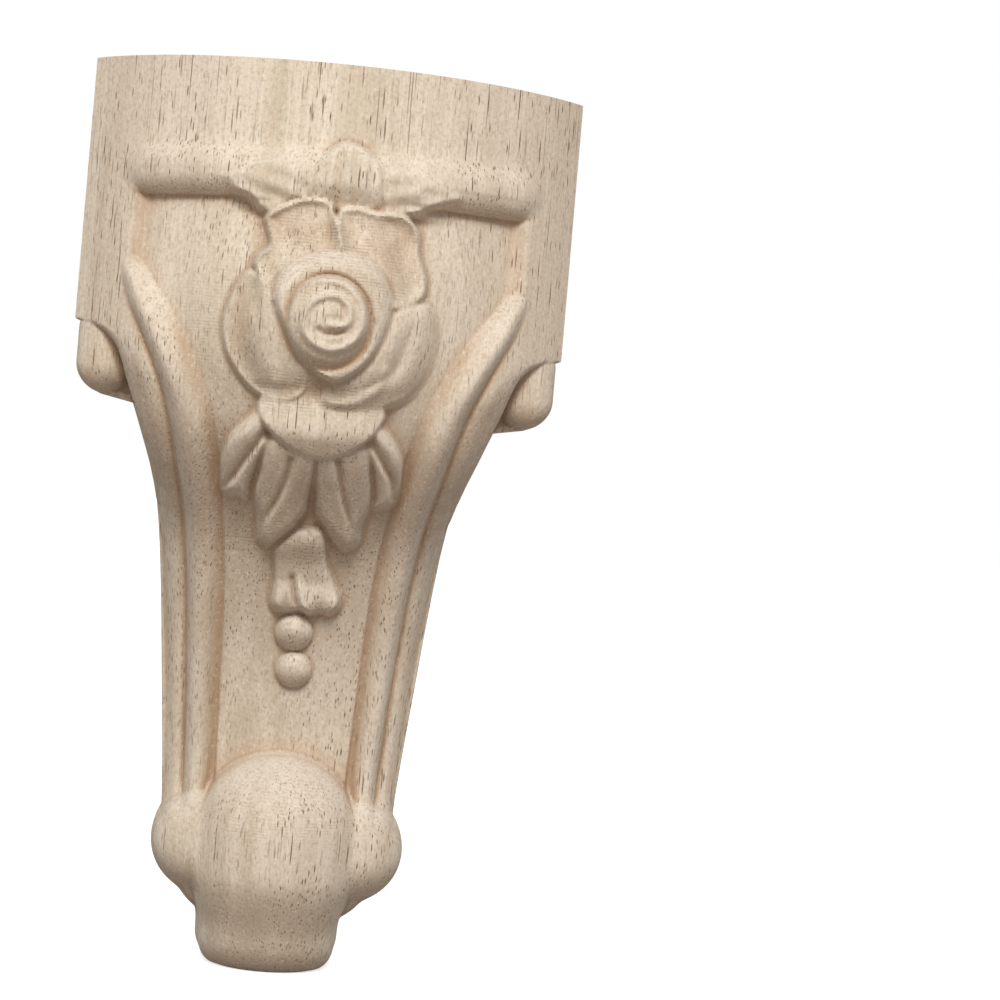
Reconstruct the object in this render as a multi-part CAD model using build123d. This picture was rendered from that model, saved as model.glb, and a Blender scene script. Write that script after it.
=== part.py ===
from build123d import *
import math
import os

# Overall sizes of the leg in millimetres. Heights are from the floor, depths from the back corner edge.
HEIGHT = 150.0
BLOCK_HALF = 40.2
BLOCK_FRONT = 60.4
BLOCK_DROP = 43.0
SOLE_TO_CORNER = 22.0

# Curved shank: a round bar that hollows forward from the ankle and runs into the ball of the knee.
ANKLE_Z = 17.3
ANKLE_FRONT = 29.5
SHANK_RADIUS = 24.3
MEET_DROP = 64.0
MEET_FRONT = 53.8
KNEE_DROP = 38.0
KNEE_FRONT = 63.8
KNEE_AXIS = 22.0

# Base behind the toe: it narrows under the ankle.
BASE_AXIS = 5.7
BASE_RADIUS = 14.4
BASE_STRAIGHT = 6.0

# Sunk panel with its half-round frame: a bar across the block and a moulding down each side.
PANEL_SINK = 2.4
SHANK_SINK = 5.6
PANEL_BACK = 18.0
BAR_DROP = 18.1
BAR_RADIUS = 4.1
BAR_HALF = 34.0
BAR_STAND = 1.6
BAR_STEPS = 8
PANEL_HALF = 31.3
MOULDING_RADIUS = 4.4
# Centre line of a side moulding: drop from the top of the block, distance from the middle, stand.
MOULDING_TOP = [(30.5, 31.2, -1.6), (37, 29.6, 1.7), (44, 26.9, 2.4), (50, 24.2, 2.5), (55.5, 21.6, 2.4)]
# The rest of it, down the shank: share of the way down to its end, distance from the middle, stand.
MOULDING_LOW = [(0.14, 19.0, 2.2), (0.32, 16.9, 2.0), (0.54, 15.6, 1.8), (0.77, 14.6, 1.4)]
MOULDING_END = (27.0, 14.0, 0.8)

# Ear under each side of the block: a ball on a flat wing, under an arch cut in the side.
EAR_DROP = 49.0
EAR_X = 35.7
EAR_RADIUS = 4.7
EAR_DEPTH = 39.6
WING_DROP = 55.2
WING_DEPTH = 37.6
WING_ROOT = 23.4
# Arch and the side line below it: distance from the middle, height from the top of the block.
ARCH = [(37.8, -42.6), (33.2, -46.8), (30.8, -52.0)]
SIDE = [(30.8, -52.0), (26.0, -66.0), (22.8, -84.0)]

# Foot: a toe shaped like a thumb, between two balls.
TOE_DEPTH = 25.6
TOE_Z = 24.0
TOE_RADIUS = 13.3
TOE_SOLE_RADIUS = 11.7
TOE_LEAN = 8.0
BALL_X = 12.4
BALL_Z = 20.7
BALL_RADIUS = 9.2
BALL_DEPTH = 22.3

# Rose: centre, crown and the grooves of its heart.
ROSE_X = 0.6
ROSE_DROP = 41.0
ROSE_STAND = 9.8
CROWN_RADIUS = 11.5
RING_RADIUS = 6.7
RING_GROOVE = 1.2
SPIRAL_GROOVE = 0.7
SPIRAL_RADII = [4.3, 3.3, 2.2, 1.2]

# Cup of the heart, as points from the rose centre: left, top, right, lower right, tip, lower left.
HEART_CUP = [(-9.2, 1.0), (-0.2, 10.9), (9.4, 1.8), (6.9, -4.9), (1.2, -10.0), (-5.6, -5.6)]

# Petals, as points from the rose centre: two arcs, from one end over the middle point to the other end.
PETAL_LEFT = [(-12.7, 6.8), (-16.4, -0.7), (-13.9, -9.1), (-10.0, -12.4), (-3.0, -12.0)]
PETAL_UPPER_LEFT = [(-9.5, 3.2), (-12.2, 7.5), (-10.9, 11.5), (-8.0, 17.4), (-0.4, 17.4)]
PETAL_UPPER_RIGHT = [(-0.4, 17.4), (6.5, 18.5), (13.4, 16.2), (14.8, 10.0), (10.9, 2.5)]
PETAL_RIGHT = [(10.0, 2.0), (15.2, 4.3), (17.9, -1.2), (13.2, -11.4), (-1.0, -12.9)]
# Hollow of a petal: middle of the hollow, its height over the panel there, its radius.
HOLLOW_LEFT = ((-7.0, -4.0), 0.2, 20.0)
HOLLOW_UPPER_LEFT = ((-5.0, 9.5), 1.2, 14.0)
HOLLOW_UPPER_RIGHT = ((7.0, 9.5), 0.8, 14.0)
# Swell of the right petal: middle of the swell, its height over the panel there, its radius.
SWELL_RIGHT = ((6.0, -3.0), 4.4, 20.0)
PETAL_THICK = 7.0
ROOT_DEEP = 6.0

# Leaves from the rose centre: two sides of the outline, both from root to tip.
LEAF_TOP = ([(-3.2, 16.5), (-3.9, 22.5), (0.2, 28.3)], [(7.2, 16.5), (6.4, 24.2), (0.2, 28.3)])
LEAF_BAR = ([(-3.0, 24.0), (-12.0, 24.2), (-18.3, 21.0)], [(-4.0, 16.0), (-12.6, 17.2), (-18.3, 21.0)])
LEAF_CURL = ([(-8.0, -13.6), (-14.7, -20.5), (-12.6, -29.2)], [(-6.2, -16.5), (-9.2, -25.0), (-12.6, -29.2)])
LEAF_MID = ([(-8.6, -15.5), (-9.9, -27.0), (-6.9, -36.8)], [(0.2, -19.5), (0.0, -29.5), (-6.9, -36.8)])
# Back of a leaf, as a round rod: line of its crest, height of the crest over the panel, radius.
CREST_TOP = (((1.6, 16.0), (1.0, 28.0)), 5.2, 6.5)
CREST_BAR = (((-4.0, 20.5), (-18.0, 20.8)), 5.0, 6.5)
CREST_CURL = (((-8.0, -15.0), (-12.2, -28.5)), 3.4, 5.0)
CREST_MID = (((-4.2, -18.0), (-6.4, -36.0)), 4.0, 5.6)
ROD_OVERRUN = 0.6
# Veins pressed into the lower leaves, from a share of the way down their crest.
VEIN_START = 0.25
VEIN_RADIUS = 0.8

# Fan-shaped sepal under the rose: outline from the rose centre, middle of its swell, height there, radius.
SEPAL = [(-9.8, -13.6), (0.9, -21.8), (11.0, -14.5)]
SEPAL_SWELL = ((0.6, -11.0), 4.4, 24.0)

# Husk and beads on the shank: heights from the rose centre.
HUSK_LOBE = ([(0.0, -32.6), (-4.9, -36.0), (-5.0, -46.6)], [(0.6, -32.6), (0.9, -40.0), (0.7, -47.2)])
CREST_HUSK = (((-1.6, -33.0), (-2.3, -47.0)), 3.2, 3.4)
BEADS = [(-50.4, 3.3), (-56.9, 3.1)]
BEAD_STAND = 2.9
BEAD_CURVE = 3.7

# Block front: an arc through both back edges and the front.
BLOCK_BULGE = BLOCK_FRONT - BLOCK_HALF
BLOCK_RADIUS = (BLOCK_HALF ** 2 + BLOCK_BULGE ** 2) / (2 * BLOCK_BULGE)
BLOCK_AXIS = BLOCK_FRONT - BLOCK_RADIUS

# Hollow of the shank: an arc that is upright at the ankle and passes through the meeting with the knee.
MEET_RISE = HEIGHT - MEET_DROP - ANKLE_Z
MEET_REACH = MEET_FRONT - ANKLE_FRONT
HOLLOW_RADIUS = (MEET_RISE ** 2 + MEET_REACH ** 2) / (2 * MEET_REACH)
HOLLOW_DEPTH = ANKLE_FRONT + HOLLOW_RADIUS
TURN = math.asin(MEET_RISE / HOLLOW_RADIUS)

KNEE_Z = HEIGHT - KNEE_DROP
KNEE_RADIUS = KNEE_FRONT - KNEE_AXIS
ROSE_Z = HEIGHT - ROSE_DROP


def y_at(depth):
    """Y of a depth in front of the back corner edge."""
    return SOLE_TO_CORNER - depth


def block_depth(x, sink):
    return BLOCK_AXIS + math.sqrt((BLOCK_RADIUS - sink) ** 2 - x * x)


def knee_depth(x, z, sink):
    """Depth of the front of the knee, or of its middle beside the ball."""
    left = (KNEE_RADIUS - sink) ** 2 - x * x - (z - KNEE_Z) ** 2
    return KNEE_AXIS + math.sqrt(max(left, 0))


def shank_depth(x, z):
    """Depth of the round front of the shank."""
    reach = HOLLOW_RADIUS + SHANK_RADIUS - math.sqrt(SHANK_RADIUS ** 2 - x * x)
    return HOLLOW_DEPTH - math.sqrt(reach ** 2 - (z - ANKLE_Z) ** 2)


def floor_depth(z):
    """Depth of the sunk panel on the shank."""
    return HOLLOW_DEPTH - math.sqrt((HOLLOW_RADIUS + SHANK_SINK) ** 2 - (z - ANKLE_Z) ** 2)


def front_depth(x, z):
    """Depth of the uncarved front at a point of the front view."""
    if z > HEIGHT - BLOCK_DROP:
        return max(block_depth(x, 0), knee_depth(x, z, 0))
    if z > HEIGHT - MEET_DROP:
        return knee_depth(x, z, 0)
    return max(knee_depth(x, z, 0), shank_depth(x, z))


def front_plane(depth):
    """Plane that faces the front at a depth, with x across and height up."""
    return Plane(origin=(0, y_at(depth), 0), x_dir=(1, 0, 0), z_dir=(0, -1, 0))


def prism(edges, depth, thickness):
    """Solid of a closed front-view outline, from a depth towards the front."""
    return extrude(front_plane(depth) * make_face(edges), thickness)


def both_sides(solid):
    return [solid, mirror(solid, Plane.YZ)]


def wedge():
    """Right-angled space in front of the two back faces, from sole to top."""
    reach = 2 * BLOCK_FRONT
    points = [(0, y_at(0)), (reach, y_at(reach)), (-reach, y_at(reach))]
    return extrude(make_face(Polyline(*points, close=True)), HEIGHT, dir=(0, 0, 1))


def block(sink):
    low = HEIGHT - BLOCK_DROP
    return Pos(0, y_at(BLOCK_AXIS), low) * extrude(Circle(BLOCK_RADIUS - sink), BLOCK_DROP)


def shank():
    """Round bar bent forward along the hollow arc."""
    centre = (0, y_at(HOLLOW_DEPTH), ANKLE_Z)
    start = Pos(0, y_at(ANKLE_FRONT - SHANK_RADIUS), ANKLE_Z) * Circle(SHANK_RADIUS)
    return revolve(start, Axis(centre, (1, 0, 0)), math.degrees(TURN))


def knee(sink):
    return Pos(0, y_at(KNEE_AXIS), KNEE_Z) * Rot(0, 90, 0) * Sphere(KNEE_RADIUS - sink)


def shank_core():
    """What stays behind the sunk panel of the shank."""
    top = HEIGHT - MEET_DROP
    line = [(y_at(floor_depth(z)), z) for z in (0, top / 2, top)]
    edges = [ThreePointArc(*line), Polyline(line[-1], (y_at(0), top), (y_at(0), 0), line[0])]
    return extrude(Plane.YZ * make_face(edges), BLOCK_HALF, both=True)


def base():
    foot = Pos(0, y_at(BASE_AXIS), 0) * extrude(Circle(BASE_RADIUS), BASE_STRAIGHT)
    rise = ANKLE_Z - BASE_STRAIGHT
    cone = Cone(BASE_RADIUS, SHANK_RADIUS, rise, align=(Align.CENTER, Align.CENTER, Align.MIN))
    return foot + Pos(0, y_at(ANKLE_FRONT - SHANK_RADIUS), BASE_STRAIGHT) * cone


def moulding_line():
    """Points of the right side moulding, from the top down: height, distance from the middle, stand."""
    line = [(HEIGHT - drop, x, stand) for drop, x, stand in MOULDING_TOP]
    top = line[-1][0]
    for share, x, stand in MOULDING_LOW:
        line.append((top - share * (top - MOULDING_END[0]), x, stand))
    return line + [MOULDING_END]


def panel_cut():
    """Waste in front of the sunk panel, inside the line of the frame."""
    right = [(PANEL_HALF, HEIGHT - BAR_DROP)] + [(x, z) for z, x, stand in moulding_line()]
    left = [(-x, z) for x, z in reversed(right)]
    waste = prism([Polyline(*right, *left, close=True)], PANEL_BACK, 2 * BLOCK_FRONT)
    return waste - (block(PANEL_SINK) + knee(PANEL_SINK) + shank_core())


def round_rod(points, radius):
    """Round rod through points, with mitred bends."""
    path = Polyline(*points)
    start = Plane(origin=points[0], z_dir=path % 0) * Circle(radius)
    return sweep(start, path=path, transition=Transition.RIGHT)


def side_moulding():
    """Half-round moulding down the right side."""
    points = []
    for z, x, stand in moulding_line():
        points.append((x, y_at(front_depth(x, z) + stand - MOULDING_RADIUS), z))
    return round_rod(points, MOULDING_RADIUS)


def bar():
    """Half-round bar across the block."""
    reach = BLOCK_RADIUS - BAR_RADIUS + BAR_STAND
    half_turn = math.asin(BAR_HALF / BLOCK_RADIUS)
    points = []
    for i in range(BAR_STEPS + 1):
        angle = half_turn * (2 * i / BAR_STEPS - 1)
        depth = BLOCK_AXIS + reach * math.cos(angle)
        points.append((reach * math.sin(angle), y_at(depth), HEIGHT - BAR_DROP))
    return round_rod(points, BAR_RADIUS)


def panel_depth(x, z):
    """Depth of the sunk panel at a point given from the rose centre."""
    found = knee_depth(ROSE_X + x, ROSE_Z + z, PANEL_SINK)
    if ROSE_Z + z > HEIGHT - BLOCK_DROP:
        return max(found, block_depth(ROSE_X + x, PANEL_SINK))
    return max(found, floor_depth(ROSE_Z + z))


def at_rose(points):
    return [(ROSE_X + x, ROSE_Z + z) for x, z in points]


def ball(x, z, depth, radius):
    return Pos(ROSE_X + x, y_at(depth), ROSE_Z + z) * Sphere(radius)


def point_on_panel(x, z, stand):
    return Vector(ROSE_X + x, y_at(panel_depth(x, z) + stand), ROSE_Z + z)


def rod(line, stand, radius):
    """Round rod along a line of the panel, with its top at a height over it."""
    start = point_on_panel(*line[0], stand - radius)
    end = point_on_panel(*line[1], stand - radius)
    over = (end - start) * ROD_OVERRUN
    return round_rod([start - over, end + over], radius)


def vein(crest):
    """Groove along the crest of a leaf, from below its root out over the tip."""
    line, stand, radius = crest
    start = point_on_panel(*line[0], stand - radius)
    along = point_on_panel(*line[1], stand - radius) - start
    front = Vector(0, -1, 0)
    out = (front - along * (front.dot(along) / along.dot(along))).normalized() * radius
    points = [start + out + along * VEIN_START, start + out + along * (1 + ROD_OVERRUN)]
    return round_rod(points, VEIN_RADIUS)


def petal(outline):
    points = at_rose(outline)
    middle = (ROSE_X, ROSE_Z)
    sides = Polyline(points[-1], middle, points[0])
    edges = [ThreePointArc(*points[:3]), ThreePointArc(*points[2:]), sides]
    seat = panel_depth(*outline[len(outline) // 2])
    return prism(edges, seat - ROOT_DEEP, ROOT_DEEP + PETAL_THICK)


def hollowed(outline, hollow):
    middle, stand, radius = hollow
    depth = panel_depth(*middle) + stand + radius
    return petal(outline) - ball(*middle, depth, radius)


def swollen(outline, swell):
    middle, stand, radius = swell
    return petal(outline) & ball(*middle, panel_depth(*middle) + stand - radius, radius)


def leaf(outline, crest):
    one = at_rose(outline[0])
    other = at_rose(outline[1])
    edges = [ThreePointArc(*one), ThreePointArc(*other), Line(one[0], other[0])]
    if one[-1] != other[-1]:
        edges.append(Line(one[-1], other[-1]))
    return prism(edges, PANEL_BACK, 2 * BLOCK_FRONT) & rod(*crest)


def groove(middle, radius, depth, half, turn):
    """Ring or part ring with a pointed section, pressed into the crown of the heart."""
    points = [(radius - half, depth + half), (radius, depth - half), (radius + half, depth + half)]
    front = Plane(origin=(0, 0, 0), x_dir=(-1, 0, 0), z_dir=(0, 0, 1))
    section = front * make_face(Polyline(*points, close=True))
    return Pos(ROSE_X + middle, y_at(0), ROSE_Z) * revolve(section, Axis.Y, turn)


def heart():
    left, top, right, low_right, tip, low_left = at_rose(HEART_CUP)
    edges = [ThreePointArc(left, top, right), ThreePointArc(right, low_right, tip)]
    edges.append(ThreePointArc(tip, low_left, left))
    seat = panel_depth(0, 0)
    crown = seat + ROSE_STAND - CROWN_RADIUS
    cup = prism(edges, seat - ROOT_DEEP, ROOT_DEEP + 2 * ROSE_STAND) & ball(0, 0, crown, CROWN_RADIUS)
    ring_depth = crown + math.sqrt(CROWN_RADIUS ** 2 - RING_RADIUS ** 2)
    cup = cup - groove(0, RING_RADIUS, ring_depth, RING_GROOVE, 360)
    end = -SPIRAL_RADII[0]
    side = 1
    for radius in SPIRAL_RADII:
        middle = end + side * radius
        depth = crown + math.sqrt(CROWN_RADIUS ** 2 - radius ** 2)
        cup = cup - groove(middle, radius, depth, SPIRAL_GROOVE, side * 180)
        end = middle + side * radius
        side = -side
    return cup


def rose():
    parts = [heart(), hollowed(PETAL_LEFT, HOLLOW_LEFT), hollowed(PETAL_UPPER_LEFT, HOLLOW_UPPER_LEFT)]
    parts += [hollowed(PETAL_UPPER_RIGHT, HOLLOW_UPPER_RIGHT), swollen(PETAL_RIGHT, SWELL_RIGHT)]
    return parts


def mirrored_at_rose(solid):
    return mirror(solid, Plane(origin=(ROSE_X, 0, 0), x_dir=(0, 1, 0), z_dir=(1, 0, 0)))


def leaves():
    curl = leaf(LEAF_CURL, CREST_CURL) - vein(CREST_CURL)
    mid = leaf(LEAF_MID, CREST_MID) - vein(CREST_MID)
    found = [leaf(LEAF_TOP, CREST_TOP)]
    for one in (leaf(LEAF_BAR, CREST_BAR), curl, mid, leaf(HUSK_LOBE, CREST_HUSK)):
        found += [one, mirrored_at_rose(one)]
    return found


def sepal():
    points = at_rose(SEPAL)
    middle, stand, radius = SEPAL_SWELL
    edges = [ThreePointArc(*points), Polyline(points[-1], (ROSE_X, ROSE_Z), points[0])]
    blank = prism(edges, PANEL_BACK, 2 * BLOCK_FRONT)
    return blank & ball(*middle, panel_depth(*middle) + stand - radius, radius)


def beads():
    found = []
    for z, radius in BEADS:
        middle = panel_depth(0, z) + BEAD_STAND - BEAD_CURVE
        button = extrude(front_plane(middle) * Pos(ROSE_X, ROSE_Z + z) * Circle(radius), BEAD_CURVE)
        found.append(button & ball(0, z, middle, BEAD_CURVE))
    return found


def side_cut():
    """Waste outside the arch and the side line below it."""
    arch = [(x, HEIGHT + drop) for x, drop in ARCH]
    side = [(x, HEIGHT + drop) for x, drop in SIDE]
    low = (2 * BLOCK_HALF, side[-1][1])
    high = (2 * BLOCK_HALF, arch[0][1])
    edges = [ThreePointArc(*arch), ThreePointArc(*side), Polyline(side[-1], low, high, arch[0])]
    return prism(edges, 0, 2 * BLOCK_FRONT)


def ear():
    knob = Pos(EAR_X, y_at(EAR_DEPTH), HEIGHT - EAR_DROP) * Rot(90, 0, 0) * Sphere(EAR_RADIUS)
    low = HEIGHT - WING_DROP
    end = EAR_X + EAR_RADIUS
    wing = Polyline((WING_ROOT, low), (end, low), (end, KNEE_Z), (WING_ROOT, KNEE_Z), close=True)
    return knob + prism([wing], 0, WING_DEPTH)


def toe():
    """Thumb with a round top, leaning forward over its sole."""
    under = (TOE_SOLE_RADIUS, -2 * TOE_Z)
    edges = [Polyline((0, TOE_RADIUS), (0, under[1]), under, (TOE_RADIUS, 0))]
    edges.append(CenterArc((0, 0), TOE_RADIUS, 0, 90))
    thumb = revolve(Plane.YZ * make_face(edges), Axis.Z)
    return Pos(0, y_at(TOE_DEPTH), TOE_Z) * Rot(TOE_LEAN, 0, 0) * thumb


def foot_ball():
    return Pos(BALL_X, y_at(BALL_DEPTH), BALL_Z) * Rot(90, 0, 0) * Sphere(BALL_RADIUS)


def carved_leg():
    body = shank() + knee(0) + block(0) + base()
    body = body - panel_cut() - both_sides(side_cut())
    body = body + both_sides(side_moulding()) + bar()
    body = body + both_sides(ear()) + both_sides(foot_ball()) + toe()
    for piece in leaves() + [sepal()] + beads() + rose():
        body = body + piece
    return body & wedge()


leg = carved_leg()
os.makedirs("parts", exist_ok=True)
export_step(leg, "parts/carved_leg.step")
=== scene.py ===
import math

import bpy
import numpy as np
from mathutils import Matrix, Vector


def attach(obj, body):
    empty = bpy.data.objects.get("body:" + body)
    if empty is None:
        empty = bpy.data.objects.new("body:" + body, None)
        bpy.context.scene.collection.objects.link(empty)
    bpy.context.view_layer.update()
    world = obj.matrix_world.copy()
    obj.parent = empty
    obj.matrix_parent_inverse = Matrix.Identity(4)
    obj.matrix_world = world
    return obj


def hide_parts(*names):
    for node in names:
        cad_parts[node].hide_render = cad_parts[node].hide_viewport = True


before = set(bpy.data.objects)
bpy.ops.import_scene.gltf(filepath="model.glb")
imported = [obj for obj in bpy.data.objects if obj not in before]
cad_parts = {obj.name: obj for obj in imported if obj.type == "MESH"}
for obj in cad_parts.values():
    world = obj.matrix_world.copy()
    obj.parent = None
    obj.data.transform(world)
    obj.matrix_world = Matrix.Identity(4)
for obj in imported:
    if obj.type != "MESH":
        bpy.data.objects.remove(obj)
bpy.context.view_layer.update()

MM = 0.001

# Mesh: rows up the leg, columns across it, triangles that are kept, and the angle of a sharp edge.
ROWS = 480
COLUMNS = 270
EDGE_COLUMNS = 20
BACK_COLUMNS = 12
TRIANGLES = 192000
SHARP_DEGREES = 55

# All lengths of the carving are in millimetres: x across, z up, depth from the back corner edge.
TOP = 150.0
CORNER = 22.0

# Forms of the CAD model that the carving lies on.
BLOCK_AXIS, BLOCK_RADIUS = 10.2, 50.2
KNEE_AXIS, KNEE_Z, KNEE_RADIUS = 22.0, 112.0, 41.8
ANKLE_Z, SHANK_RADIUS, SHANK_TOP = 17.3, 24.3, 90.0
HOLLOW_RADIUS, HOLLOW_DEPTH = 109.26, 138.76
PANEL_SINK, SHANK_SINK, KNEE_BLEND = 2.4, 5.6, 4.0
PANEL_CROWN = 0.004

# Heights between which the shank turns into the block, and the same for the sunk panel.
PLAIN_TURN = (95, 108)
PANEL_TURN = (98, 108)
# Lifts and weights that even out the run from the knee to the shank.
EASING = ((-6, 1), (-3, 2), (0, 3), (3, 2), (6, 1))

# Upper panel: its sloped side walls, and the heights where the mouldings and the panel end.
WALL_X, WALL_WIDTH = 29.2, 3.3
MOULDING_END = (118.2, 114.6)
PANEL_TOP = 132.0
# Half-round bar: middle height, tilt, radius, half length, how deep its axis lies, blend with the block.
BAR_Z, BAR_TILT, BAR_RADIUS, BAR_HALF, BAR_SINK, BAR_BLEND = 132.5, 0.02, 4.1, 30.2, 2.6, 0.9
BAR_UPPER_STRETCH = 0.92

# Arch under the block, a side line past all of the leg for above it, and the rounded edge of the sides.
ARCH_Z, PAST_ALL = 107.35, 60.0
EDGE_ROUND, EDGE_DROP = 1.3, 1.2

# Toe: height where its ball begins, radius, depth of its axis, narrowing, lean and rounding of the sole.
TOE_Z, TOE_RADIUS, TOE_AXIS = 23.0, 13.9, 24.9
TOE_WAIST, TOE_FLATNESS, TOE_FALL = 2.2, 0.98, 12
LEAN, LEAN_TOP, LEAN_POWER = 6.6, 22.0, 1.8
SOLE_ROUND = 4.5
# Lobes beside the toe: middle, offset to each side, height, depth, radius.
UPPER_LOBE = (0.5, 12.9, 21.4, 22.2, 8.5)
LOWER_LOBE = (0.2, 9.4, 15.4, 19.2, 6.4)
# Base behind the toe: depth of its axis, half width at the sole, spread, and the heights of the spread.
BASE_AXIS, BASE_HALF, BASE_SPREAD, BASE_LOW, BASE_RISE = 5.4, 10.0, 9.6, 9.5, 7.8

# Ear: place, depth and radius of its ball, how far it is drawn up, and how steeply it ends.
EAR_X, EAR_Z, EAR_DEPTH, EAR_RADIUS, EAR_DRAWN, EAR_FALL = 34.8, 100.4, 39.4, 4.7, 5.4, 14
# Wing behind the ear: reach from the middle, lower edge with its slope, top, depth.
WING_INNER, WING_OUTER, WING_TOP, WING_DEPTH = 23, 35.6, 108.5, 37.6
WING_Z, WING_SLOPE, WING_SLOPE_X = 94.0, 0.18, 28

# Side moulding: height, edge of the panel, outer groove, stand of the crest, depth of the outer groove.
MOULDING = [
    (20, 11.0, 16.4, 0.6, 0.6), (33, 11.2, 16.7, 0.7, 0.8), (40, 11.4, 17.1, 0.7, 0.9),
    (48, 11.7, 17.6, 0.8, 1.0), (56, 11.9, 18.2, 0.9, 1.0), (63, 12.2, 18.7, 1.0, 1.0),
    (71.5, 12.8, 19.6, 1.2, 1.0), (78.5, 13.6, 20.5, 1.4, 1.0), (84, 14.5, 21.7, 1.6, 1.0),
    (90.4, 15.6, 23.2, 1.7, 0.9), (96, 17.4, 24.8, 1.7, 0.8), (100.8, 19.3, 26.8, 1.7, 0.7),
    (105.5, 21.7, 29.1, 1.5, 0.5), (110.3, 24.7, 31.5, 1.1, 0.3), (115, 28.0, 33.0, 0.6, 0.1),
    (119, 29.6, 34.0, 0.2, 0.0),
]
# Profile of the moulding from the panel edge to the groove: share of the width, share of the rise or fall.
CREST = 0.6
RISE = [(0.0, 0.0), (0.1, 0.04), (0.22, 0.24), (0.36, 0.68), (0.5, 0.95), (0.6, 1.0)]
FALL = [(0.6, 0.0), (0.72, 0.08), (0.84, 0.34), (0.94, 0.74), (1.0, 1.0)]
# Channel along the foot of the panel edge, width of the outer groove, swell of the band outside it.
CHANNEL_DEPTH, GROOVE_WIDTH, BAND_SWELL = 0.9, 0.6, 0.7

# Side of the leg under the block: height, distance from the middle.
SIDE = [
    (17, 19.5), (30, 20.1), (40, 20.9), (50, 21.8), (60, 22.7), (66, 23.3), (75, 24.4), (84, 26.1),
    (91, 28.4), (98, 31.0), (101, 32.0), (103.6, 33.3), (105.2, 34.9), (106.2, 36.6), (106.8, 38.6),
    (107.1, 41.0), (107.4, 44.0),
]

# Line between the columns of the front and those of the edges: height, distance from the middle.
CORE = [
    (0, 12.0), (12, 14.5), (20, 20.0), (40, 21.6), (60, 22.0), (66, 22.6), (75, 23.9), (84, 25.9),
    (91, 28.2), (98, 30.8), (101, 31.8), (103.6, 33.1), (105.4, 34.8), (107.0, 36.0), (109.5, 37.0),
    (115, 37.6), (150, 37.6),
]
CORE_SHARE = 0.98
# Places across the leg at which its width is looked for.
PROBE_REACH, PROBE_COUNT = 41.5, 1661
# A row that ends this close to the side line ends on it.
SNAP = 0.06
# Rows in which an ear stands out past the side, how far it does so at least, and the gap at that step.
EAR_ROWS, EAR_STEP, BRINK = (93, 105.4), 0.3, 0.03

# Outlines of the carving in the front view.
PETAL_UPPER_LEFT = [
    (-8.0, 111.0), (-11.9, 116.3), (-11.7, 118.6), (-10.0, 120.6), (-10.6, 123.0), (-11.0, 125.0),
    (-8.4, 127.0), (-4.8, 128.4), (-1.3, 128.2), (0.3, 126.8), (1.6, 119.0),
]
PETAL_UPPER_RIGHT = [
    (0.3, 126.4), (3.7, 127.8), (7.0, 127.3), (11.4, 127.3), (14.0, 124.9), (14.6, 121.0), (16.0, 117.0),
    (15.2, 113.4), (11.4, 111.4), (4.0, 114.0), (1.6, 119.0),
]
PETAL_LEFT = [
    (-11.9, 116.4), (-14.4, 114.1), (-15.8, 110.3), (-16.2, 107.0), (-15.4, 103.4), (-13.5, 100.2),
    (-11.4, 97.9), (-8.9, 96.4), (-6.1, 95.9), (-3.2, 96.6), (-1.6, 99.4), (-3.0, 106.0), (-8.6, 111.9),
]
PETAL_RIGHT = [
    (10.4, 112.4), (15.2, 114.3), (17.9, 112.4), (18.6, 107.6), (18.0, 103.0), (15.8, 98.8), (12.4, 96.3),
    (8.6, 94.9), (4.0, 95.0), (0.2, 96.0), (0.6, 100.0), (6.0, 104.0),
]
CUP = [
    (-8.8, 112.1), (-8.2, 115.4), (-6.4, 117.8), (-2.6, 119.8), (1.8, 120.6), (6.0, 119.8), (8.8, 117.6),
    (10.5, 114.4), (10.8, 111.6), (10.0, 107.8), (8.3, 104.0), (6.0, 101.2), (2.6, 99.2), (-0.8, 100.4),
    (-4.3, 103.2), (-6.8, 107.4),
]
SEPAL = [
    (-9.6, 95.6), (-9.0, 93.1), (-7.6, 91.3), (-4.7, 89.1), (-1.3, 87.6), (1.4, 87.2), (4.0, 87.8),
    (6.7, 89.2), (8.6, 90.6), (10.0, 92.4), (11.2, 95.6), (8.0, 100.0), (0.6, 102.0), (-7.0, 100.0),
]
CURL_LEFT = [
    (-8.6, 95.0), (-11.8, 92.6), (-13.8, 90.0), (-14.6, 87.4), (-14.8, 84.2), (-14.6, 81.4),
    (-13.6, 80.2), (-11.6, 79.9), (-9.3, 79.8), (-8.8, 82.6), (-8.0, 86.0), (-6.8, 90.6),
]
CURL_RIGHT = [
    (8.4, 94.8), (12.0, 93.0), (14.6, 89.5), (15.4, 86.2), (15.5, 82.2), (14.2, 80.3), (10.6, 79.6),
    (10.4, 82.0), (9.6, 86.0), (8.0, 90.4),
]
MID_LEFT = [
    (-7.2, 91.0), (-8.6, 84.4), (-9.1, 80.8), (-8.4, 77.2), (-8.2, 74.6), (-7.6, 72.9), (-5.3, 72.2),
    (-3.4, 73.3), (-1.6, 75.0), (-0.2, 77.0), (0.5, 80.8), (0.6, 91.0),
]
MID_RIGHT = [
    (8.6, 91.0), (10.3, 85.0), (10.8, 80.6), (10.0, 77.2), (9.9, 74.6), (9.0, 73.0), (6.9, 72.4),
    (5.0, 73.5), (3.4, 75.1), (1.9, 77.0), (1.0, 80.8), (0.6, 91.0),
]
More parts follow.
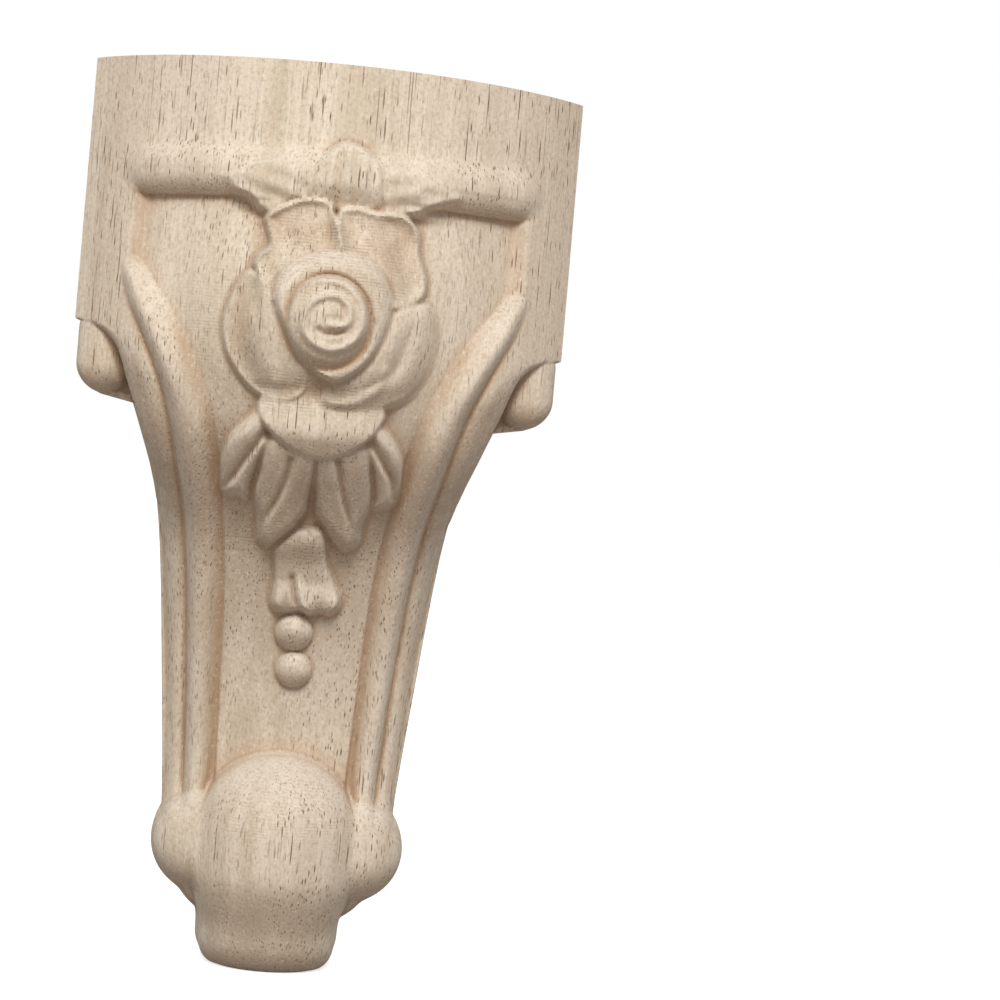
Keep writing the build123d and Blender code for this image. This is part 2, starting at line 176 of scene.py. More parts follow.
HUSK = [
    (-2.6, 75.0), (-0.8, 76.3), (2.7, 76.4), (4.0, 74.4), (4.6, 70.8), (6.3, 67.4), (7.7, 65.0),
    (7.5, 62.6), (5.8, 61.3), (4.0, 61.3), (2.2, 60.9), (0.6, 61.5), (-1.6, 61.0), (-3.9, 61.5),
    (-4.8, 63.4), (-4.4, 67.0), (-4.6, 70.3), (-4.6, 72.6),
]
LEAF_TOP = [
    (1.0, 137.9), (-1.4, 136.4), (-3.4, 134.0), (-4.3, 131.0), (-4.0, 127.6), (0.6, 126.6), (7.4, 127.4),
    (7.9, 131.6), (7.0, 134.6), (4.4, 136.9),
]
LEAF_BAR_LEFT = [
    (-18.3, 131.4), (-17.4, 129.6), (-16.0, 128.1), (-13.8, 127.2), (-12.0, 125.4), (-9.8, 124.7),
    (-8.2, 125.8), (-6.3, 127.0), (-3.6, 127.2), (-3.4, 133.6), (-7.0, 134.6), (-12.0, 134.0),
]
LEAF_BAR_RIGHT = [
    (20.8, 130.9), (16.4, 128.4), (13.2, 126.7), (10.0, 126.2), (7.2, 126.4), (7.0, 133.4), (11.0, 134.6),
    (15.6, 133.8),
]

# Lines that are cut into these forms or stand on them.
SPIRAL = [
    (-5.9, 109.6), (-5.1, 112.3), (-3.5, 114.5), (-0.6, 115.3), (3.4, 114.3), (5.7, 110.8), (5.1, 106.7),
    (1.5, 104.5), (-2.1, 105.7), (-3.5, 108.6), (-2.5, 111.4), (0.6, 112.9), (3.2, 111.8), (3.8, 109.6),
    (2.6, 108.2), (0.8, 108.3),
]
UPPER_FOLD = [(0.4, 126.8), (0.6, 124.5), (1.6, 121.0)]
PETAL_RIGHT_RIDGE = [(10.2, 102.0), (9.0, 98.8), (6.2, 96.9), (2.6, 96.0)]
PETAL_RIGHT_CUT = [(11.0, 111.8), (12.8, 112.6), (14.6, 113.6)]
PETAL_LEFT_FOLD = [(-9.4, 112.4), (-10.2, 108.0), (-9.4, 103.0), (-6.6, 98.6)]
BUD_EYE = [(-0.9, 107.4), (0.2, 106.8), (1.6, 106.9), (2.8, 107.4)]
MID_LEFT_RIDGE = [(-1.4, 88), (-2.1, 83.7), (-3.4, 80.5), (-5.9, 75.6)]
MID_LEFT_VEIN = [(-3.4, 87), (-3.8, 84), (-4.9, 80.8), (-6.9, 76.0), (-7.8, 71.0)]
MID_RIGHT_RIDGE = [(2.7, 88), (4.1, 83.2), (5.9, 79.2), (7.6, 76.4)]
MID_RIGHT_VEIN = [(4.2, 87.4), (5.5, 82.3), (7.5, 76.6), (8.6, 71.0)]
BETWEEN_ROOTS = [(0.5, 87.4), (0.6, 83.6)]
BETWEEN_TIPS = [(0.7, 80.6), (0.8, 78.0)]
CURL_LEFT_RIDGE = [(-6.8, 90.2), (-9.4, 86.0), (-12.8, 81.2)]
CURL_LEFT_VEIN = [(-7.6, 91.2), (-10.3, 87.1), (-13.5, 81.8)]
CURL_RIGHT_RIDGE = [(8.4, 89.8), (10.7, 86.6), (12.3, 84.2), (13.0, 81.2)]
CURL_RIGHT_VEIN = [(9.2, 90.8), (11.7, 87.4), (13.3, 85.0), (13.9, 82.0)]
HUSK_RIDGE = [(-0.1, 67.6), (0.3, 66.0), (0.9, 63.4), (1.7, 61.6)]
HUSK_SLIT = [(-1.2, 67.6), (-0.7, 65.0), (-0.1, 63.0)]
HUSK_PIT_LEFT = [(-0.9, 76.9), (-0.3, 77.4)]
HUSK_PIT_RIGHT = [(2.4, 77.1), (2.9, 76.5)]

# Rose: middle, half width and half height of its dome, its floor and its bud.
DOME, DOME_HEIGHT = (0.8, 109.5, 17.5, 18.2), 4.4
ROSE_FLOOR = (0.6, 110.5, 13.6, 14.5)
BUD = (0.5, 108.8, 7.0, 7.6)
CUP_MIDDLE, CUP_RIM = (0.8, 109.0), 6.1
# Beads: place and radius, and how deep and how steeply they sit in the panel.
BEADS = [(0.0, 58.2, 3.25), (0.5, 51.8, 3.15)]
BEAD_SINK, BEAD_FALL, BEAD_SKIRT = 0.2, 3, 1.5

# Grid on which hollows are found: cell, reach of the fine and of the wide ones, fade at the outline.
CELL = 0.3
HOLLOWS = (("fine", 0.7), ("wide", 2.4))
OUTLINE_FADE = 0.8

# Screen colours of the wood, in steps of 255.
LATE_WOOD, EARLY_WOOD, BROAD_BAND = (206, 190, 167), (226, 211, 190), (216, 198, 180)
FIBRE, PORE = (190, 164, 134), (100, 66, 42)
# Painted shade in the coves (partly brown left by the cutter), in hollows and in grooves, and a painted
# highlight on ridges.
COVE_SHADE_AND_BURN, HOLLOW_SHADE, GROOVE_SHADE, RIDGE_HIGHLIGHT = (172, 140, 106), (178, 142, 108), (150, 114, 82), (236, 224, 208)
# Painted light on surfaces that face up, and painted shade on surfaces that face down.
FACING_UP_LIGHT, FACING_DOWN_SHADE = (224, 214, 200), (158, 126, 98)
SPECKLE_DARK, SPECKLE_LIGHT, CUTTER_LINE = (176, 152, 126), (238, 228, 212), (160, 134, 110)

# Scales of the grain per metre, across and along it.
BAND_SCALE, BROAD_SCALE, FIBRE_SCALE = (190, 190, 9), (45, 45, 5), (2600, 2600, 60)
CLUSTER_SCALE, PATCH_SCALE, SPECKLE_SCALE = (90, 90, 16), (260, 260, 90), (1900, 1900, 1500)
SHIFT_SCALE, BREAK_SCALE = (120, 120, 120), (700, 700, 500)
# Layers of pores: scale, size, and the chance from which a cell has one.
PORES = (
    ((1700, 1700, 110), 0.32, 0.5),
    ((2300, 2300, 42), 0.33, 0.5),
    ((2200, 2200, 300), 0.34, 0.45),
)
# Cutter lines: turns of their wave per metre, in radians, and how much they waver.
LINE_TURNS, LINE_WAVER = 11800.0, 14.0

WHITE = (1, 1, 1, 1)
FLOOR_TINT, FLOOR_BOUNCE = (0.95, 0.95, 0.95, 1), (0.45, 0.45, 0.45, 1)
FLOOR_GLOW, FLOOR_HALF, SKY_STRENGTH = 0.68, 6.0, 0.5


def step(low, high, value):
    """Share between two limits, eased; the limits may stand in either order."""
    t = np.clip((value - low) / (high - low), 0, 1)
    return t * t * (3 - 2 * t)


def higher(a, b, round_off):
    """The larger of two, with a rounded meeting."""
    return 0.5 * (a + b + np.sqrt((a - b) ** 2 + round_off ** 2))


def root(value):
    """Square root, or nothing below zero."""
    return np.sqrt(np.maximum(value, 0))


def hump(value, middle, width):
    """Share that is one at the middle and fades to both sides."""
    return np.exp(-((value - middle) / width) ** 2)


def patch(x, z, middle_x, middle_z, wide, high, power=2):
    """Share that is one in the middle of a patch and fades around it, more sharply with a larger power."""
    return np.exp(-((x - middle_x) / wide) ** power - ((z - middle_z) / high) ** power)


def oval(x, z, middle_x, middle_z, half_wide, half_high):
    """Distance from the middle of an oval: one on its line."""
    return np.hypot((x - middle_x) / half_wide, (z - middle_z) / half_high)


def swell(inner, reach):
    """Quarter-round rise from an edge, up to one at the reach."""
    return root(1 - (1 - np.clip(inner / reach, 0, 1)) ** 2)


def wave(inner, reach):
    """Quarter of a wave from an edge, up to one at the reach."""
    return np.sin(0.5 * np.pi * np.clip(inner / reach, 0, 1))


def through(knots, column, t):
    """Smooth line through a column of knots that are sorted by their first number."""
    keys = np.array([knot[0] for knot in knots], dtype=float)
    values = np.array([knot[column] for knot in knots], dtype=float)
    slopes = np.gradient(values, keys)
    i = np.clip(np.searchsorted(keys, t) - 1, 0, len(keys) - 2)
    gap = keys[i + 1] - keys[i]
    s = np.clip((t - keys[i]) / gap, 0, 1)
    start = (1 + 2 * s) * (1 - s) ** 2 * values[i] + s * (1 - s) ** 2 * gap * slopes[i]
    end = s * s * (3 - 2 * s) * values[i + 1] + s * s * (s - 1) * gap * slopes[i + 1]
    return start + end


def round_line(points, closed, parts=6):
    """Points of a smooth line through a few points."""
    p = np.array(points, dtype=float)
    n = len(p)
    found = []
    for i in range(n if closed else n - 1):
        around = [i - 1, i, i + 1, i + 2]
        if closed:
            a, b, c, d = (p[k % n] for k in around)
        else:
            a, b, c, d = (p[min(max(k, 0), n - 1)] for k in around)
        for j in range(parts):
            t = j / parts
            found.append(0.5 * (2 * b + (c - a) * t + (2 * a - 5 * b + 4 * c - d) * t * t
                                + (3 * b - a - 3 * c + d) * t ** 3))
    if not closed:
        found.append(p[-1])
    return np.array(found)


def from_line(line, x, z):
    """Distance from a line of points."""
    best = np.full(x.shape, 1e9)
    for a, b in zip(line[:-1], line[1:]):
        run = b - a
        t = np.clip(((x - a[0]) * run[0] + (z - a[1]) * run[1]) / max(run @ run, 1e-9), 0, 1)
        best = np.minimum(best, (x - a[0] - t * run[0]) ** 2 + (z - a[1] - t * run[1]) ** 2)
    return np.sqrt(best)


class Shape:
    """A closed outline of the front view: where it lies in a grid, and how far inside it each point is."""

    def __init__(self, outline, x, z, margin=1.0):
        line = round_line(outline, True)
        low = line.min(axis=0) - margin
        high = line.max(axis=0) + margin
        self.where = (x > low[0]) & (x < high[0]) & (z > low[1]) & (z < high[1])
        self.x = x[self.where]
        self.z = z[self.where]
        ring = np.vstack([line, line[:1]])
        away = from_line(ring, self.x, self.z)
        inside = np.zeros(self.x.shape, dtype=bool)
        for a, b in zip(ring[:-1], ring[1:]):
            if a[1] != b[1]:
                crosses = (a[1] > self.z) != (b[1] > self.z)
                inside ^= crosses & (self.x < a[0] + (self.z - a[1]) * (b[0] - a[0]) / (b[1] - a[1]))
        self.inner = np.where(inside, away, -away)
        self.deep = np.maximum(self.inner, 0)


def groove(line, x, z, width):
    """Share of a narrow line: one in its middle and nothing away from it."""
    return hump(from_line(round_line(line, False), x, z), 0, width)


def cap(away, radius, fall):
    """Round rise over the distance from its middle; past its edge it falls away steeply."""
    return np.where(away < radius, root(radius ** 2 - away ** 2), -fall * (away - radius))


def ball(x, z, centre_x, centre_z, depth, radius, fall=4):
    """Front of a ball."""
    return depth + cap(np.hypot(x - centre_x, z - centre_z), radius, fall)


def block_front(x, sink):
    return BLOCK_AXIS + root((BLOCK_RADIUS - sink) ** 2 - x * x)


def knee_front(x, z, sink):
    return ball(x, z, 0, KNEE_Z, KNEE_AXIS, KNEE_RADIUS - sink)


def hollow_front(reach, z):
    """Hollow run of the shank, at a distance from the axis that it is turned about."""
    return HOLLOW_DEPTH - root(reach ** 2 - (np.minimum(z, SHANK_TOP) - ANKLE_Z) ** 2)


def shank_and_knee(x, z):
    shank = hollow_front(HOLLOW_RADIUS + SHANK_RADIUS - root(SHANK_RADIUS ** 2 - x * x), z)
    return higher(knee_front(x, z, 0), shank, KNEE_BLEND)


def panel_low(x, z):
    ground = hollow_front(HOLLOW_RADIUS + SHANK_SINK, z)
    return higher(knee_front(x, z, PANEL_SINK), ground - PANEL_CROWN * x * x, KNEE_BLEND)


def eased(form, x, z):
    """Front of a form, evened out a little up and down so that the knee runs smoothly into the shank."""
    total = 0
    for lift, weight in EASING:
        total = total + weight * form(x, z + lift)
    return total / sum(weight for _, weight in EASING)


def plain_front(x, z):
    """Front of the leg before it is carved."""
    low = eased(shank_and_knee, x, z)
    high = higher(block_front(x, 0), knee_front(x, z, 0), 1.0)
    return low + (high - low) * step(*PLAIN_TURN, z)


def panel_front(x, z):
    """Sunk panel that carries the carving."""
    low = eased(panel_low, x, z)
    high = higher(block_front(x, PANEL_SINK), knee_front(x, z, PANEL_SINK), 1.5)
    return low + (high - low) * step(*PANEL_TURN, z)


def framed(x, z):
    """Front with the sunk panel, the bar over it and the moulding down each side."""
    side = np.abs(x)
    plain = plain_front(x, z)
    panel = panel_front(x, z)
    edge, gutter, stand, groove_deep = (through(MOULDING, column, z) for column in (1, 2, 3, 4))
    share = np.clip((side - edge) / (gutter - edge), 0, 1)

    # Heights at the foot of the panel edge, on the crest and in the outer groove.
    start = panel_front(edge, z) - CHANNEL_DEPTH * step(96, 84, z)
    crest = plain_front(edge + CREST * (gutter - edge), z) + stand
    valley = plain_front(gutter, z) - groove_deep
    rise = start + (crest - start) * through(RISE, 1, np.minimum(share, CREST))
    fall = crest - (crest - valley) * through(FALL, 1, np.maximum(share, CREST))
    moulding = np.where(share < CREST, rise, fall)

    # Band between the outer groove and the side of the leg.
    reach = np.maximum(through(SIDE, 1, np.minimum(z, 106)) - gutter, 1)
    rim = np.clip((side - gutter) / reach, 0, 1)
    band = plain - groove_deep * np.exp(-np.maximum(side - gutter, 0) / GROOVE_WIDTH)
    band = band + BAND_SWELL * np.sin(np.pi * rim) * step(112, 98, z)
    outside = np.where(side < gutter, moulding, band)
    low_part = panel + (outside - panel) * step(-0.3, 0.3, side - edge)

    # Above the mouldings the panel has a sloped wall on each side.
    wall = np.clip((side - WALL_X) / WALL_WIDTH, 0, 1)
    high_part = panel + (plain - panel) * (0.35 * wall + 0.65 * step(0, 1, wall))
    slant = 0.35 * np.maximum(side - 31, 0) + 0.25 * np.maximum(29.5 - side, 0)
    shape = high_part + (low_part - high_part) * step(*MOULDING_END, z + slant)

    # Over the panel the block is plain again, behind the half-round bar.
    shape = np.where(z > PANEL_TOP, plain, shape)
    line = BAR_Z + BAR_TILT * x
    stretch = np.where(z > line, BAR_UPPER_STRETCH, 1.0)
    away = np.hypot(np.maximum(side - BAR_HALF, 0), (z - line) * stretch)
    bar = plain - BAR_SINK + root(BAR_RADIUS ** 2 - away ** 2)
    return np.where(away < BAR_RADIUS, higher(shape, bar, BAR_BLEND), shape)


def raised(front, shape, height, panel, wall=0.9, soft=0.35):
    """Adds a form to the front: height over the panel, inside an outline, with a sloped wall."""
    share = shape.inner / wall
    edge = 0.5 * step(-0.2, 1.0, share) + 0.5 * np.clip(share, 0, 1)
    ground = front[shape.where]
    over = panel[shape.where] + height
    front[shape.where] = ground + (higher(ground, over, soft) - ground) * edge


def carve_rose(front, panel, x, z):
    # The petals lie on a low dome.
    dome = DOME_HEIGHT * np.clip(1 - oval(x, z, *DOME) ** 2, 0, 1)
    inside = step(1.0, 0.9, oval(x, z, *ROSE_FLOOR))
    front += (higher(front, panel + 0.9 + 0.7 * dome, 0.3) - front) * inside

    # Upper petals: a thin rolled rim over a hollow, and a fold between them.
    for outline in (PETAL_UPPER_LEFT, PETAL_UPPER_RIGHT):
        shape = Shape(outline, x, z)
        rim = (0.4 + 1.4 * step(112, 119, shape.z)) * hump(shape.deep, 0, 0.85)
        height = 1.7 + 0.75 * dome[shape.where] + rim
        height += 1.6 * step(121.0, 127.0, shape.z) - 0.9 * hump(shape.deep, 3.0, 1.8)
        raised(front, shape, height, panel)
    front += 0.6 * groove(UPPER_FOLD, x, z, 0.8)
    front -= 0.5 * patch(x, z, 0.2, 127.4, 0.7, 0.7)

    # Right petal: a soft rolled lip that runs out into the panel.
    shape = Shape(PETAL_RIGHT, x, z)
    lip = wave(shape.deep, 3.4)
    crisp = step(100, 96.5, shape.z)
    height = 0.3 + 0.8 * dome[shape.where] + 1.5 * (lip + 0.8 * (1 - lip) * crisp)
    height -= 0.7 * step(3.6, 6.0, shape.deep)
    height += 0.5 * groove(PETAL_RIGHT_RIDGE, shape.x, shape.z, 0.8)
    raised(front, shape, height, panel, 1.3)
    front -= 0.4 * groove(PETAL_RIGHT_CUT, x, z, 0.5)

    # Left petal: a bowl with a thin rim and a soft fold beside the cup.
    shape = Shape(PETAL_LEFT, x, z)
    outer = np.maximum(step(-9.5, -11.0, shape.x), step(99.5, 97.5, shape.z))
    height = 1.1 + 0.75 * dome[shape.where] + 0.8 * outer * hump(shape.deep, 0, 0.7)
    height -= 0.55 * outer * hump(shape.deep, 2.6, 1.5)
    height += 0.55 * groove(PETAL_LEFT_FOLD, shape.x, shape.z, 1.7)
    raised(front, shape, height, panel, 0.7, 0.15)

    # Hollow under the cup, between the two petals.
    front -= 1.2 * patch(x, z, 0.4, 98.4, 3.6, 1.8)

    # Cup: a band that slopes up to its rim, wider at the top than below.
    shape = Shape(CUP, x, z)
    turn = np.arctan2(shape.z - CUP_MIDDLE[1], shape.x - CUP_MIDDLE[0])
    low_side = step(0.5, -0.8, np.sin(turn))
    width = 1.0 + 2.2 * step(-0.5, 0.9, np.sin(turn + 0.3))
    edge_height = 1.3 + 0.75 * dome[shape.where]
    band = edge_height + (CUP_RIM - edge_height) * wave(shape.deep, width) + 0.3 * step(1.0, 3.4, shape.deep)

    # Bud: a dome inside a ring hollow, wound with one soft ridge.
    ring = oval(shape.x, shape.z, *BUD)
    bud = 5.0 + 3.3 * root(1 - 0.6 * np.minimum(ring, 1.2) ** 2)
    bud -= (1.2 + 0.6 * low_side) * hump(ring, 0.98, 0.1 + 0.08 * low_side)
    winding = from_line(round_line(SPIRAL, False), shape.x, shape.z)
    begun = step(0.4, 3.2, np.hypot(shape.x - SPIRAL[0][0], shape.z - SPIRAL[0][1]))
    bud += begun * (0.5 * hump(winding, 0, 0.55) - 0.22 * hump(winding, 1.1, 0.5))
    bud -= 0.8 * groove(BUD_EYE, shape.x, shape.z, 0.45)
    raised(front, shape, band + (bud - band) * step(1.07, 0.97, ring), panel, 0.9, 0.2)


def carve_leaves(front, panel, x, z):
    # Mid leaves swell towards their tips, which are cut off steeply.
    for outline, ridge, vein in (
        (MID_LEFT, MID_LEFT_RIDGE, MID_LEFT_VEIN),
        (MID_RIGHT, MID_RIGHT_RIDGE, MID_RIGHT_VEIN),
    ):
        shape = Shape(outline, x, z)
        above_tip = step(75.2, 79.5, shape.z)
        height = 0.4 + 1.1 * step(0, 2.6, shape.deep) + 3.0 * np.clip((91 - shape.z) / 15, 0, 1)
        height += 1.6 * step(79, 89, shape.z)
        height += 0.35 * above_tip * groove(ridge, shape.x, shape.z, 1.0)
        height -= 1.2 * (0.4 + 0.6 * above_tip) * groove(vein, shape.x, shape.z, 0.6)
        raised(front, shape, height, panel, 1.1 + 0.7 * step(82, 75.5, shape.z), 0.3)
    front += 0.8 * groove(BETWEEN_ROOTS, x, z, 1.0)
    front -= 0.9 * groove(BETWEEN_TIPS, x, z, 0.6)

    # Curl leaves, one outside each of them.
    for outline, ridge, vein in (
        (CURL_LEFT, CURL_LEFT_RIDGE, CURL_LEFT_VEIN),
        (CURL_RIGHT, CURL_RIGHT_RIDGE, CURL_RIGHT_VEIN),
    ):
        shape = Shape(outline, x, z)
        height = 0.5 + 1.2 * step(0, 2.4, shape.deep) + 2.2 * np.clip((95 - shape.z) / 15, 0, 1)
        height += 1.2 * step(83, 91, shape.z)
        height -= 1.5 * groove(vein, shape.x, shape.z, 0.65)
        height += 0.25 * groove(ridge, shape.x, shape.z, 0.9)
        raised(front, shape, height, panel, 1.1 + 0.4 * step(86, 81.5, shape.z), 0.3)

    # Sepal: a smooth fan over the roots of the leaves.
    shape = Shape(SEPAL, x, z)
    height = 4.4 + 0.7 * swell(shape.deep, 4.0) - 2.6 * step(90, 97, shape.z)
    raised(front, shape, height, panel, 0.6, 0.2)


def carve_husk(front, panel, x, z):
    # Husk: a swollen neck over a skirt with three folds, and a pit beside the neck on each side.
    shape = Shape(HUSK, x, z)
    low = step(67.5, 62.5, shape.z)
    height = 1.4 + 1.3 * swell(shape.deep, 3.2) + 1.3 * low
    height += 1.1 * patch(shape.x, shape.z, 0.4, 73.2, 3.2, 2.0)
    for middle in (-1.7, 3.9):
        height -= 0.9 * hump(shape.x, middle, 1.6) * step(66.0, 61.6, shape.z)
    height += 0.7 * groove(HUSK_RIDGE, shape.x, shape.z, 0.6) * step(69, 65, shape.z)
    height -= 0.9 * groove(HUSK_SLIT, shape.x, shape.z, 0.5)
    raised(front, shape, height, panel, 0.9 + 0.5 * low, 0.3)
    front -= groove(HUSK_PIT_LEFT, x, z, 0.8) + groove(HUSK_PIT_RIGHT, x, z, 0.7)

    for bead_x, bead_z, radius in BEADS:
        away = np.hypot(x - bead_x, z - bead_z)
        bead = panel - BEAD_SINK + cap(away, radius, BEAD_FALL)
        front[:] = np.where(away < radius + BEAD_SKIRT, higher(front, bead, 0.3), front)


def carve_bar(front, panel, x, z):
    # Leaves that spill from the rose over the bar, with the gap between them and the petals filled.
    for outline, flow in ((LEAF_BAR_LEFT, -1), (LEAF_BAR_RIGHT, 1)):
        shape = Shape(outline, x, z)
        height = PANEL_SINK + 0.9 + swell(shape.deep, 3.4)
        height += 0.16 * np.sin((shape.z - 0.35 * flow * shape.x) * 1.9) * step(0.4, 1.6, shape.deep)
        height -= 0.9 * step(131.0, 126.8, shape.z) * step(15, 12, np.abs(shape.x - 1.5))
        raised(front, shape, height, panel, 1.3, 0.9)
    gap = patch(x, z, 1.5, 128.9, 13.5, 2.2, 6)
    front += (higher(front, panel + PANEL_SINK + 0.3, 0.5) - front) * gap

    # A torn patch at the lower edge of the left one, and two dents in the right one.
    tear = np.exp(-((x + 12.2) / 2.4) ** 2 - ((z - 126.4 - 0.45 * (x + 12)) / 1.2) ** 2)
    rough = np.sin(7.1 * x + 2.3 * np.sin(5.3 * z)) * np.sin(8.7 * z + 1.9 * np.sin(6.1 * x))
    front += tear * (0.5 * rough - 0.4)
    front -= 0.4 * (patch(x, z, 14.6, 131.0, 1.1, 0.7) + patch(x, z, 13.4, 128.6, 2.0, 0.5))

    # Top leaf, with flutes up its front.
    shape = Shape(LEAF_TOP, x, z)
    height = PANEL_SINK + 1.3 + 1.6 * swell(shape.deep, 4.2)
    flutes = 0.26 * np.cos((shape.x - 1.6) * 2 * np.pi / 2.6) * step(0.3, 1.8, shape.deep)
    height += flutes - 1.5 * step(131.5, 127.2, shape.z)
    raised(front, shape, height, panel, 0.9, 0.4)


def lobe(x, z, side, form):
    middle, offset, centre_z, depth, radius = form
    return ball(x, z, middle + offset * side, centre_z, depth, radius)


def foot(x, z):
    """Toe that leans forward between two lobes on each side, and the base behind it."""
    corner = 1 - root(1 - np.clip((SOLE_ROUND - z) / SOLE_ROUND, 0, 1) ** 2)
    radius = TOE_RADIUS - TOE_WAIST * step(17, 6, z) - 2.6 * corner
    away = np.where(z > TOE_Z, np.hypot(x, z - TOE_Z), np.abs(x))
    back = LEAN * np.clip((LEAN_TOP - z) / LEAN_TOP, 0, 1) ** LEAN_POWER
    toe = TOE_AXIS - back + TOE_FLATNESS * cap(away, radius, TOE_FALL)
    lobes = np.zeros_like(x)
    for side in (-1, 1):
        pair = higher(lobe(x, z, side, UPPER_LOBE), lobe(x, z, side, LOWER_LOBE), 3.0)
        lobes = higher(lobes, pair, 0.5)
    half = BASE_HALF + BASE_SPREAD * np.clip((z - BASE_LOW) / BASE_RISE, 0, 1) - 1.6 * corner
    base = np.where(np.abs(x) < half, BASE_AXIS + root(half ** 2 - x * x), 0)
    base = np.where(z < ANKLE_Z, base, 0)
    return higher(higher(toe, lobes, 1.8), base, 0.6)


def ear(x, z):
    """Ball that is drawn up under the side of the block, on a flat wing."""
    side = np.abs(x)
    drawn = z - np.clip(z - EAR_Z, 0, EAR_DRAWN)
    knob = ball(side, drawn, EAR_X, EAR_Z, EAR_DEPTH, EAR_RADIUS, EAR_FALL)
    under = WING_Z + WING_SLOPE * np.maximum(side - WING_SLOPE_X, 0)
    on_wing = (side > WING_INNER) & (side < WING_OUTER) & (z > under) & (z < WING_TOP)
    return higher(knob, np.where(on_wing, WING_DEPTH, 0), 1.4)


def front_depth(x, z):
    """Depth of the finished front at points of the front view."""
    panel = panel_front(x, z)
    front = framed(x, z)
    carve_bar(front, panel, x, z)
    carve_leaves(front, panel, x, z)
    carve_husk(front, panel, x, z)
    carve_rose(front, panel, x, z)

    # The panel runs out over the top of the foot.
    toe = foot(x, z)
    blend = 0.2 + 5.0 * step(19, 30, z) * step(60, 44, z)
    front = np.where(z < 62, higher(front, toe, blend), front)

    # Sides of the leg, with a rounded edge, from the ankle up to the arch.
    side = np.abs(x)
    edge = np.where(z > ARCH_Z, PAST_ALL, through(SIDE, 1, z))
    front = np.where((z > ANKLE_Z) & (z < 100), higher(front, side + 1.0, 1.0), front)
    over = np.clip((side - (edge - EDGE_ROUND)) / EDGE_ROUND, 0, 1)
    front = np.where(side < edge, front - EDGE_DROP * (1 - root(1 - over * over)), 0)
    front = np.where(z < ANKLE_Z, 0, front)

    front = np.where((z > 90) & (z < 110), np.maximum(front, ear(x, z)), front)
    return np.where(z < 34, np.maximum(front, toe), front)


def cove_shade_and_burn(x, z):
    """Brown painted into the coves, edge bands, panel walls and rose hollows: painted shade there, partly
    brown left by the cutter.
    """
    side = np.abs(x)
    edge = through(MOULDING, 1, z)
    gutter = through(MOULDING, 2, z)
    share = (side - edge) / (gutter - edge)
    run = step(26, 32, z) * step(114, 104, z)

    # Coves of the mouldings, edge bands and walls of the panel.
    coves = [0.9 * hump(share, 0.12, 0.16) * run, 0.8 * hump(share, 1.02, 0.12) * run]
    bands = 0.4 * step(1.15, 1.4, share) * step(20, 30, z) * step(106, 98, z)
    walls = 0.7 * hump(side, 30.8, 1.5) * step(114, 118, z) * step(129.5, 127.5, z)

    # Hollows of the rose: round the bud, in the left petal, in the upper petals and under the cup.
    hollows = [
        1.1 * hump(oval(x, z, *BUD), 0.97, 0.1),
        patch(x, z, -13.4, 107.5, 2.0, 6.5),
        patch(x, z, -4.5, 123.6, 5.5, 2.8),
        patch(x, z, 9.5, 120, 4.5, 5.5),
        0.8 * patch(x, z, -2.0, 98.2, 6.0, 1.8),
    ]
    return np.maximum.reduce([*coves, bands, walls, *hollows])


def cutter(x, z):
    """Where the cutter's fine lines show: left panel, upper petals, toe, leaf tips, under the rose."""
    return np.maximum.reduce([
        0.45 * patch(x, z, -18, 108, 7.0, 12.0),
        patch(x, z, 2, 119, 13.0, 8.0, 4),
        0.55 * patch(x, z, 0, 29, 13.0, 6.0, 4),
        patch(x, z, 0, 74.5, 12.0, 4.0, 4),
        0.8 * patch(x, z, 0, 98, 12.0, 4.0, 4),
    ])


def columns_across(heights):
    """Places of the front's points in each row, from its left end to its right one."""
    probe = np.linspace(-PROBE_REACH, PROBE_REACH, PROBE_COUNT)
    gap = probe[1] - probe[0]
    gx, gz = np.meshgrid(probe, heights)
    spare = front_depth(gx, gz) - np.abs(gx)
    across = []
    for z, row in zip(heights, spare):
        side = through(SIDE, 1, z)
        good = np.nonzero(row > 0)[0]
        ends = []
        for i, out in ((good[0], -1), (good[-1], 1)):
            end = probe[i] + out * gap * min(row[i] / max(row[i] - row[i + out], 1e-6), 1)
            ends.append(math.copysign(side, end) if abs(abs(end) - side) < SNAP else end)
        core = min(through(CORE, 1, z), CORE_SHARE * ends[1], -CORE_SHARE * ends[0])

        # Beside an ear the columns keep to the step between the side and the wing.
        stepped = EAR_ROWS[0] < z < EAR_ROWS[1] and ends[1] > side + EAR_STEP
        brink = side + BRINK if stepped else core
        left = np.linspace(ends[0], -brink, EDGE_COLUMNS, endpoint=stepped)
        right = np.linspace(ends[1], brink, EDGE_COLUMNS, endpoint=stepped)[::-1]
        across.append(np.concatenate([left, np.linspace(-core, core, COLUMNS), right]))
    return np.array(across)


